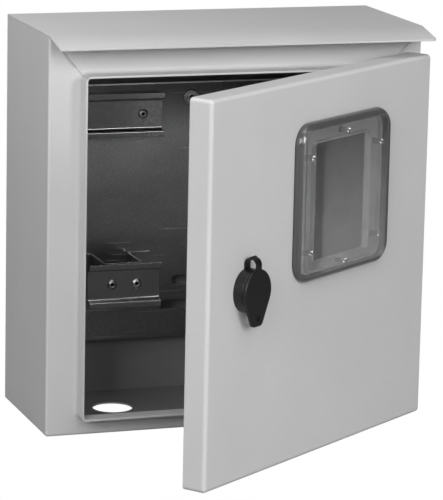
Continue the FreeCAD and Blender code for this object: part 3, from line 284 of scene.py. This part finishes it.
def clear_plastic(name, colour, roughness, clearness, heights, view=None, hazy_box=None, rim=None):
    """Polycarbonate moulding: clear with a polished skin, and hazier as dust settles lower down.

    clearness is a pair, for the first and the second of the two heights in metres. Where boxes are given,
    the plastic is clearer, and so darker, outside the hazy one: a painted shade along the pane's left side.
    Outside the view the plastic takes the rim's smoky colour, clearness and roughness from a satin mould.
    """
    haze_size, hazy_box_edge, view_edge = 0.012, 0.004, 0.0008
    shaded_strip_haze = 0.4
    material, tree, place, shader = new_material(name, {"IOR": 1.585})
    haze = cloud(tree, place, haze_size, detail=3.0)
    coat = laid_over(tree, shade(colour, 0.9), colour, haze)
    polish = roughened(tree, shader, haze, max(roughness - 0.02, 0.0), roughness + 0.03)
    height = add_node(tree, "ShaderNodeSeparateXYZ", {"Vector": place}).outputs["Z"]
    clear = add_node(tree, "ShaderNodeMapRange",
                     {"Value": height, "From Min": heights[1], "From Max": heights[0],
                      "To Min": clearness[1], "To Max": clearness[0]}).outputs["Result"]
    # Outside the hazy box the plastic is clearer and darker: painted shade.
    if view:
        haze_share = within(tree, place, *hazy_box, hazy_box_edge)
        haze_share = add_node(tree, "ShaderNodeMapRange", {"Value": haze_share, "To Min": shaded_strip_haze}).outputs["Result"]
        clear = add_node(tree, "ShaderNodeMix", {0: haze_share, 2: 1.0, 3: clear}).outputs[0]
        pane = within(tree, place, *view, view_edge)
        rim_colour, rim_clearness, rim_roughness = rim
        coat = laid_over(tree, rim_colour, coat, pane, 0.0, 1.0)
        clear = add_node(tree, "ShaderNodeMix", {0: pane, 2: rim_clearness, 3: clear}).outputs[0]
        polish = add_node(tree, "ShaderNodeMix", {0: pane, 2: rim_roughness, 3: polish}).outputs[0]
        tree.links.new(polish, shader.inputs["Roughness"])
    tree.links.new(coat, shader.inputs["Base Color"])
    tree.links.new(clear, shader.inputs["Transmission Weight"])
    return material


def foam_rubber(name, colour):
    """Closed-cell foam rubber cut into strips: matt skin with small pits, painted darker in them as painted
    shade.
    """
    pits_per_metre, pit_start, pit_stop = 900.0, 0.1, 0.6
    material, tree, place, shader = new_material(name, {})
    cells = add_node(tree, "ShaderNodeTexVoronoi", {"Vector": place, "Scale": pits_per_metre})
    pits = cells.outputs["Distance"]
    # Painted shade: darker in the pits.
    coat = laid_over(tree, shade(colour, 0.6), colour, pits, pit_start, pit_stop)
    tree.links.new(coat, shader.inputs["Base Color"])
    roughened(tree, shader, pits, 0.95, 0.8, pit_start, pit_stop)
    raised(tree, shader, pits, 0.0004)
    return material


def smooth_sheets(piece, sharpest=math.radians(28)):
    """Welds a CAD node's loose triangles and smooths its bends, but no edge sharper than an angle."""
    piece.data.polygons.foreach_set("use_smooth", np.ones(len(piece.data.polygons), bool))
    weld = piece.modifiers.new("Weld", "WELD")
    weld.merge_threshold = 1e-6
    split = piece.modifiers.new("Sharp edges", "EDGE_SPLIT")
    split.split_angle = sharpest
    split.use_edge_sharp = False
    flat = piece.modifiers.new("Flat sheets", "WEIGHTED_NORMAL")
    flat.mode = "FACE_AREA"
    flat.weight = 80


def dress(names, material):
    """Gives CAD nodes a finish and smooth shading."""
    for name in names:
        piece = NODES[name]
        piece.data.materials.clear()
        piece.data.materials.append(material)
        smooth_sheets(piece)


def door_points(points):
    """Points of the shut door turned about the hinge to where the door rests."""
    c, s = math.cos(DOOR_ANGLE), math.sin(DOOR_ANGLE)
    x, y, z = np.moveaxis(points - HINGE_POINT, -1, 0)
    return np.stack([x * c - y * s, x * s + y * c, z], axis=-1) + HINGE_POINT


def surface(name, grid, material, body):
    """Mesh from a grid of points: rows run along the piece, columns go round it and close.

    Where a row has shrunk to one point its copies are merged, so the piece ends in a closed pole.
    """
    rows, cols = grid.shape[:2]
    a, b = np.meshgrid(np.arange(rows - 1), np.arange(cols), indexing="ij")
    after = (b + 1) % cols
    faces = np.stack([a * cols + b, a * cols + after, (a + 1) * cols + after, (a + 1) * cols + b], axis=-1)
    mesh = bpy.data.meshes.new(name)
    mesh.from_pydata(grid.reshape(-1, 3).tolist(), [], faces.reshape(-1, 4).tolist())
    merged = bmesh.new()
    merged.from_mesh(mesh)
    bmesh.ops.remove_doubles(merged, verts=merged.verts, dist=1e-7)
    merged.to_mesh(mesh)
    merged.free()
    mesh.polygons.foreach_set("use_smooth", np.ones(len(mesh.polygons), bool))
    mesh.materials.append(material)
    piece = bpy.data.objects.new(name, mesh)
    bpy.context.scene.collection.objects.link(piece)
    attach(piece, body)
    return piece


def line_frame(start, stop):
    """First point of a line in the x and z plane, its length, its direction and the direction beside it."""
    first, last = np.array(start), np.array(stop)
    length = np.linalg.norm(last - first)
    run = (last - first) / length
    return first, length, run, np.array([-run[1], run[0]])


def foam_strip(name, start, stop, width, height, material):
    """Strip along a line in the shut door: half a super-ellipse across, closed flat against the sheet.

    Across, it is width times a cosine and height times the square root of a sine. Both shrink at the two
    cut ends over the last millimetre, and each end is closed to its middle.
    """
    # From each cut end: where its corner ends, where the full size starts, and where the even rows start.
    corner, cut, even = 0.0002, 0.001, 0.004
    end_share, rows, columns = 0.97, 40, 17
    first, length, run, side = line_frame(start, stop)
    along = np.concatenate([[0.0, corner, cut], np.linspace(even, length - even, rows),
                            [length - cut, length - corner, length]])
    shrink = np.interp(along, [0, cut, length - cut, length], [end_share, 1.0, 1.0, end_share])[:, None]
    angle = np.linspace(0, math.pi, columns)
    across = -np.cos(angle) * width / 2 * shrink
    depth = DOOR_INNER_FACE + np.sin(angle).clip(0) ** 0.5 * height * shrink
    spot = (first + run * along[:, None])[:, None, :]
    place = spot + side * across[..., None]
    profile = np.stack([place[..., 0], depth, place[..., 1]], axis=-1)
    foot = np.stack([spot[..., 0], np.full(spot.shape[:2], DOOR_INNER_FACE), spot[..., 1]], axis=-1)
    closed = np.concatenate([foot, profile], axis=1)
    ends = [np.broadcast_to(closed[k].mean(0), closed[k].shape)[None] for k in (0, -1)]
    grid = np.concatenate([ends[0], closed, ends[1]], axis=0)
    return surface(name, door_points(grid), material, "door")


def weld_ridge(name, start, stop, width, height, material):
    """Dressed weld bead on the front flange: a half ellipse across, rippled and tapered along its run.

    Across, it is width times a cosine and height times a sine. Both are multiplied along the run by the
    square root of one less the sixth power of the distance from the middle, and by a low sine for the
    ripple.
    """
    rows, columns, ripple = 60, 9, 0.08
    first, length, run, side = line_frame(start, stop)
    t = np.linspace(0, 1, rows)
    ends = np.sqrt(np.clip(1 - np.abs(2 * t - 1) ** 6, 0, 1))
    taper = (ends * (1 + ripple * np.sin(t * length / BEAD_RIPPLE * 2 * math.pi)))[:, None]
    angle = np.linspace(0, math.pi, columns)
    across = np.cos(angle) * taper * width / 2
    rise = np.sin(angle) * taper * height
    place = (first + run * (t * length)[:, None])[:, None, :] + side * across[..., None]
    grid = np.stack([place[..., 0], BEAD_BASE - rise, place[..., 1]], axis=-1)
    return surface(name, grid, material, "case")


def colour_setting(name, description, text):
    """A colour that the user may change, with its default as sRGB hex."""
    return bpy.props.FloatVectorProperty(name=name, description=description, subtype="COLOR", size=4,
                                         min=0.0, max=1.0, default=linear_colour(text))


def length_setting(name, description, default, low, high):
    """A length in metres that the user may change between low and high."""
    return bpy.props.FloatProperty(name=name, description=description, unit="LENGTH", default=default,
                                   min=low, max=high)


class MeterBoxFinish(bpy.types.PropertyGroup):
    """Colours of the box's finishes."""

    paint: colour_setting("Paint", "Light-grey powder coat of the case and door", "#C8C8C8")
    zinc_sheet: colour_setting("Galvanised sheet", "Mounting plate, rails and bracket", "#B4B4B4")
    zinc_small: colour_setting("Zinc plating", "Rivets, eyelets, screws and nuts", "#B6B6B6")
    black: colour_setting("Black plastic", "Lock collar and dust cap", "#060606")
    window: colour_setting("Window", "Clear window cover", "#E6E6E6")
    window_border: colour_setting("Window frame", "Hazy inner frame of the window", "#F2F2F2")
    window_rim: colour_setting("Window rim", "Smoky satin rim of the window cover", "#606060")
    rubber: colour_setting("Rubber", "Window gasket", "#2A2A2A")
    foam: colour_setting("Foam", "Door seal", "#3A3A3A")


class MeterBoxSizes(bpy.types.PropertyGroup):
    """Sizes of the finishes and of the pieces that are drawn here."""

    peel_size: length_setting("Orange peel", "Width of the paint's ripples", 0.0011, 0.0002, 0.005)
    peel_depth: length_setting("Peel depth", "Depth of the paint's ripples", 0.00004, 0.0, 0.0005)
    # How far the coat is darkened inside the case: painted shade.
    inside_shade: bpy.props.FloatProperty(
        name="Inside shade", description="Brightness of the coat inside the case against outside",
        default=0.34, min=0.1, max=1.0, subtype="FACTOR")
    seal_width: length_setting("Seal width", "Width of the foam seal", 0.0115, 0.004, 0.0116)
    seal_height: length_setting("Seal height", "Height of the foam seal off the door", 0.0046, 0.002, 0.0047)
    weld_radius: length_setting("Weld radius", "Radius of the dressed weld beads", 0.0007, 0.0002, 0.002)


class METERBOX_OT_case_sheets(bpy.types.Operator):
    """Powder coat on the case: shell, upper flange, roof with its visor, back panel and hinge halves."""

    bl_idname = "meterbox.case_sheets"
    bl_label = "Case sheets"

    def execute(self, context):
        sizes, finish = context.scene.meterbox_sizes, context.scene.meterbox_finish
        # The coat is drawn darker inside the case: painted shade.
        paint = powder_coat("powder coat on the case", list(finish.paint), sizes.peel_size, sizes.peel_depth,
                            (*CASE_INSIDE, sizes.inside_shade))
        dress(["case_shell", "upper_flange", "roof_panel", "back_panel", "case_hinge_upper",
               "case_hinge_lower"], paint)
        return {"FINISHED"}


class METERBOX_OT_weld_ridges(bpy.types.Operator):
    """Two painted weld beads beside each mitre of the front flange."""

    bl_idname = "meterbox.weld_ridges"
    bl_label = "Weld ridges"

    def execute(self, context):
        radius = context.scene.meterbox_sizes.weld_radius
        paint = bpy.data.materials["powder coat on the case"]
        # In radii: how far each bead lies beside the mitre's line, and how high it stands.
        apart, proud = 1.25, 0.6
        aside = line_frame(MITRE_CORNER, MITRE_ROOT)[3] * radius * apart
        for hand, side in (("left", -1), ("right", 1)):
            for row, shift in (("outer", 1), ("inner", -1)):
                start, stop = [(p + shift * aside) * (side, 1) for p in (MITRE_CORNER, MITRE_ROOT)]
                weld_ridge(f"weld_{hand}_{row}", start, stop, 2 * radius, radius * proud, paint)
        return {"FINISHED"}


class METERBOX_OT_inner_plate(bpy.types.Operator):
    """Galvanised sheet on the mounting plate and the bracket, and zinc-plated strip on the rails."""

    bl_idname = "meterbox.inner_plate"
    bl_label = "Mounting plate and rails"

    def execute(self, context):
        finish = context.scene.meterbox_finish
        plate_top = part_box("mounting_plate")[1][2]
        # Start and stop height and share of painted shade on the plate: behind the upper rail and near the
        # floor.
        painted_shade_rows = ((0.060, 0.095, 0.72), (0.020, -0.075, 0.35))
        # Width of the painted highlight along the plate's top edge.
        highlight_edge_width = 0.0009
        plate = galvanised_sheet("galvanised sheet", list(finish.zinc_sheet), painted_shade_rows, plate_top - highlight_edge_width)
        dress(["mounting_plate", "rail_bracket"], plate)
        # The rails take the sheet's colour darkened: painted shade.
        rolled = zinc_plate("zinc-plated rolled strip", shade(finish.zinc_sheet, 0.79), 0.17, edge=0.0003,
                            wave=0.000002)
        dress(["upper_din_rail", "lower_din_rail"], rolled)
        return {"FINISHED"}


class METERBOX_OT_fasteners(bpy.types.Operator):
    """Zinc plating on the eyelets, bushes, rivets, earth stud, hinge pins, washers and clips."""

    bl_idname = "meterbox.fasteners"
    bl_label = "Fasteners"

    def execute(self, context):
        colour = list(context.scene.meterbox_finish.zinc_small)
        plated = zinc_plate("zinc plating", colour, 0.2)
        dress(["plate_bushes", "earth_stud", "earth_washer", "earth_nut", "hinge_pin_upper",
               "hinge_pin_lower", "hinge_washers", "window_clips", "cam_washer", "cam_screw"], plated)
        for name in ("upper_rail_rivets", "lower_rail_rivets"):
            low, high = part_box(name)
            half = (high[2] - low[2]) / 2
            # Dark pits in the rivets' middles: painted shade in the bores.
            pits = [(x, low[2] + half, MANDREL_SHADE_RADIUS) for x in (low[0] + half, high[0] - half)]
            finish = zinc_plate("plated " + name.replace("_", " "), colour, 0.28, wave=0.000005, pits=pits)
            dress([name], finish)
        low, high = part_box("plate_eyelets")
        # The upper and lower eyelet stand off the middle, and the two side ones a little below it.
        side = (high[0] - low[0]) / 2 - EYELET_HALF
        drop, upper_shift, lower_shift = 0.005, -0.0012, 0.012
        spots = ((upper_shift, high[2] - EYELET_HALF), (lower_shift, low[2] + EYELET_HALF),
                 (-side, -drop), (side, -drop))
        pits = [(*spot, EYELET_BORE) for spot in spots]
        # Darker copy of the zinc plating on the eyelets: painted shade.
        shaded_eyelet_plating = zinc_plate("plated eyelets", shade(colour, 0.8), 0.14, wave=0.000005, pits=pits)
        dress(["plate_eyelets"], shaded_eyelet_plating)
        return {"FINISHED"}


class METERBOX_OT_door_sheet(bpy.types.Operator):
    """Powder coat on the door pan and its hinge halves."""

    bl_idname = "meterbox.door_sheet"
    bl_label = "Door sheet"

    def execute(self, context):
        sizes, finish = context.scene.meterbox_sizes, context.scene.meterbox_finish
        paint = powder_coat("powder coat on the door", list(finish.paint), sizes.peel_size, sizes.peel_depth)
        dress(["door_panel", "door_hinge_upper", "door_hinge_lower"], paint)
        return {"FINISHED"}


class METERBOX_OT_door_seal(bpy.types.Operator):
    """Foam strips: a low rounded profile run along each side of the door and butted at the corners."""

    bl_idname = "meterbox.door_seal"
    bl_label = "Door seal"

    def execute(self, context):
        sizes, finish = context.scene.meterbox_sizes, context.scene.meterbox_finish
        foam = foam_rubber("self-adhesive foam strip", list(finish.foam))
        for name, (start, stop) in STRIP_LINES.items():
            strip = foam_strip("foam_strip_" + name, start, stop, sizes.seal_width, sizes.seal_height, foam)
            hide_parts("door_seal")
        return {"FINISHED"}


class METERBOX_OT_window(bpy.types.Operator):
    """Clear cover, hazy inner frame and rubber gasket of the window."""

    bl_idname = "meterbox.window"
    bl_label = "Window"

    def execute(self, context):
        finish = context.scene.meterbox_finish
        low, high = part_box("window_cover")
        # The plastic grows hazier from the first height down to the second.
        heights = (high[2] - 0.015, low[2] + 0.03)
        # How far in from the cover's sides the clear pane starts, and the full haze on its right part; the
        # clearer, darker strip left of it is painted shade. Both run all the way through the door.
        left, right, ends, shaded_strip_width, through = 0.0060, 0.0045, 0.0055, 0.029, 1.0
        view = ((low[0] + left, -through, low[2] + ends), (high[0] - right, through, high[2] - ends))
        hazy_box = ((low[0] + shaded_strip_width, -through, low[2] + ends), (high[0], through, high[2] - ends))
        rim = (list(finish.window_rim), 0.45, 0.2)
        cover = clear_plastic("clear polycarbonate", list(finish.window), 0.02, (0.95, 0.83), heights, view,
                              hazy_box, rim)
        dress(["window_cover"], cover)
        border = clear_plastic("hazy polycarbonate", list(finish.window_border), 0.08, (0.3, 0.3), heights)
        dress(["window_frame"], border)
        rubber = moulded_plastic("window rubber", list(finish.rubber), 0.6, 0.0006, 0.00003)
        dress(["window_gasket"], rubber)
        return {"FINISHED"}


class METERBOX_OT_lock(bpy.types.Operator):
    """Black collar and dust cap, and the metal of the lock behind them."""

    bl_idname = "meterbox.lock"
    bl_label = "Lock"

    def execute(self, context):
        finish = context.scene.meterbox_finish
        black = moulded_plastic("black polyamide", list(finish.black), 0.40, 0.0005, 0.00003)
        dress(["lock_collar", "lock_cap"], black)
        casting = zinc_plate("plated zinc casting", list(finish.zinc_small), 0.3)
        dress(["lock_body", "lock_nut", "lock_rotor", "lock_cam"], casting)
        return {"FINISHED"}


# Name, place, side and watts of each studio light.
SOFT_BOXES = (
    ("front_left_box", (-1.4, -1.8, 0.9), 1.0, 23.4),
    ("front_box", (-0.1, -2.4, 1.0), 1.2, 18.8),
    ("front_right_box", (0.85, -2.3, 0.65), 0.7, 15.3),
    ("top_box", (-0.1, -0.5, 2.0), 1.2, 8.8),
    ("side_box", (-0.47, -0.1, 0.52), 0.25, 1.2),
    ("back_box", (0.7, 1.6, 0.0), 0.28, 4.5),
    ("edge_box", (0.85, -2.3, 1.2), 0.35, 4.6),
    ("high_box", (0.27, -1.03, 1.4), 0.3, 2.5),
)


class METERBOX_OT_stage(bpy.types.Operator):
    """Pale floor, white surroundings, soft lights and the camera of the photograph's view."""

    bl_idname = "meterbox.stage"
    bl_label = "Studio"

    def execute(self, context):
        scene = context.scene
        self.make_floor(scene)
        self.make_world(scene)
        self.make_lights(scene)
        self.make_camera(scene)
        scene.view_settings.view_transform = "Standard"
        return {"FINISHED"}

    def make_floor(self, scene):
        """Flat square under the box, plain white to the eye and pale grey to the light."""
        side, level = 6.0, CAD_BOX[0][2]
        mesh = bpy.data.meshes.new("studio_floor")
        corners = [(-side, -side, level), (side, -side, level), (side, side, level), (-side, side, level)]
        mesh.from_pydata(corners, [], [(0, 1, 2, 3)])
        material = bpy.data.materials.new("studio floor")
        material.use_nodes = True
        tree = material.node_tree
        tree.nodes.clear()
        seen = add_node(tree, "ShaderNodeLightPath").outputs["Is Camera Ray"]
        plain = add_node(tree, "ShaderNodeBsdfDiffuse", {"Color": linear_colour("#9C9C9C")}).outputs["BSDF"]
        glow = add_node(tree, "ShaderNodeEmission", {"Color": (1, 1, 1, 1)}).outputs["Emission"]
        mixed = add_node(tree, "ShaderNodeMixShader", {0: seen, 1: plain, 2: glow}).outputs["Shader"]
        add_node(tree, "ShaderNodeOutputMaterial", {"Surface": mixed})
        mesh.materials.append(material)
        floor = bpy.data.objects.new("studio_floor", mesh)
        scene.collection.objects.link(floor)

    def make_world(self, scene):
        """White to the eye, and a softer grey as light."""
        world = bpy.data.worlds.new("studio world")
        world.use_nodes = True
        tree = world.node_tree
        tree.nodes.clear()
        fill = 0.1
        seen = add_node(tree, "ShaderNodeLightPath").outputs["Is Camera Ray"]
        strength = add_node(tree, "ShaderNodeMapRange", {"Value": seen, "To Min": fill}).outputs["Result"]
        glow = add_node(tree, "ShaderNodeBackground", {"Color": (1, 1, 1, 1), "Strength": strength})
        add_node(tree, "ShaderNodeOutputWorld", {"Surface": glow.outputs["Background"]})
        scene.world = world

    def make_lights(self, scene):
        """Square soft boxes aimed at the middle of the box; edge_box and high_box give the bends glints."""
        aim = Vector((0.0, -0.1, 0.0))
        for name, spot, size, power in SOFT_BOXES:
            light = bpy.data.lights.new(name, "AREA")
            light.size = size
            light.energy = power
            lamp = bpy.data.objects.new(name, light)
            lamp.location = spot
            lamp.rotation_euler = (aim - Vector(spot)).to_track_quat("-Z", "Y").to_euler()
            scene.collection.objects.link(lamp)

    def make_camera(self, scene):
        """Camera fitted to the corners of the case and door in the photograph."""
        azimuth, elevation, roll = (math.radians(v) for v in (-19.09, 12.08, 1.25))
        target, distance = Vector((0.01011, -0.06, -0.02875)), 2.43728
        back = Vector((math.sin(azimuth) * math.cos(elevation), -math.cos(azimuth) * math.cos(elevation),
                       math.sin(elevation)))
        right = Vector((math.cos(azimuth), math.sin(azimuth), 0.0))
        up = back.cross(right)
        turned_right = math.cos(roll) * right + math.sin(roll) * up
        turned_up = -math.sin(roll) * right + math.cos(roll) * up
        camera = bpy.data.objects.new("camera", bpy.data.cameras.new("camera"))
        camera.data.lens = 221.675
        camera.data.sensor_width = 36.0
        camera.data.clip_start = 0.05
        camera.data.clip_end = 50.0
        turn = Matrix((turned_right, turned_up, back)).transposed()
        camera.matrix_world = Matrix.Translation(target + back * distance) @ turn.to_4x4()
        scene.collection.objects.link(camera)
        scene.camera = camera


# The operators in the order in which main calls them.
STEPS = ("case_sheets", "weld_ridges", "inner_plate", "fasteners", "door_sheet", "door_seal", "window",
         "lock", "stage")


class METERBOX_PT_sidebar(bpy.types.Panel):
    """Lists the box's operators, colours and sizes."""

    bl_idname = "METERBOX_PT_sidebar"
    bl_label = "Meter box"
    bl_space_type = "VIEW_3D"
    bl_region_type = "UI"
    bl_category = "Meter box"

    def draw(self, context):
        for step in STEPS:
            self.layout.operator("meterbox." + step)
        for group in (context.scene.meterbox_finish, context.scene.meterbox_sizes):
            for name in group.__annotations__:
                self.layout.prop(group, name)


CLASSES = (MeterBoxFinish, MeterBoxSizes, METERBOX_OT_case_sheets, METERBOX_OT_weld_ridges,
           METERBOX_OT_inner_plate, METERBOX_OT_fasteners, METERBOX_OT_door_sheet, METERBOX_OT_door_seal,
           METERBOX_OT_window, METERBOX_OT_lock, METERBOX_OT_stage, METERBOX_PT_sidebar)


def register():
    """Registers the classes and hangs the two property groups on the scene."""
    for cls in CLASSES:
        bpy.utils.register_class(cls)
    bpy.types.Scene.meterbox_finish = bpy.props.PointerProperty(type=MeterBoxFinish)
    bpy.types.Scene.meterbox_sizes = bpy.props.PointerProperty(type=MeterBoxSizes)


def unregister():
    """Takes off what register put on."""
    del bpy.types.Scene.meterbox_sizes
    del bpy.types.Scene.meterbox_finish
    for cls in reversed(CLASSES):
        bpy.utils.unregister_class(cls)


def main():
    """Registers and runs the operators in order."""
    register()
    for step in STEPS:
        getattr(bpy.ops.meterbox, step)()


if __name__ == "__main__":
    main()
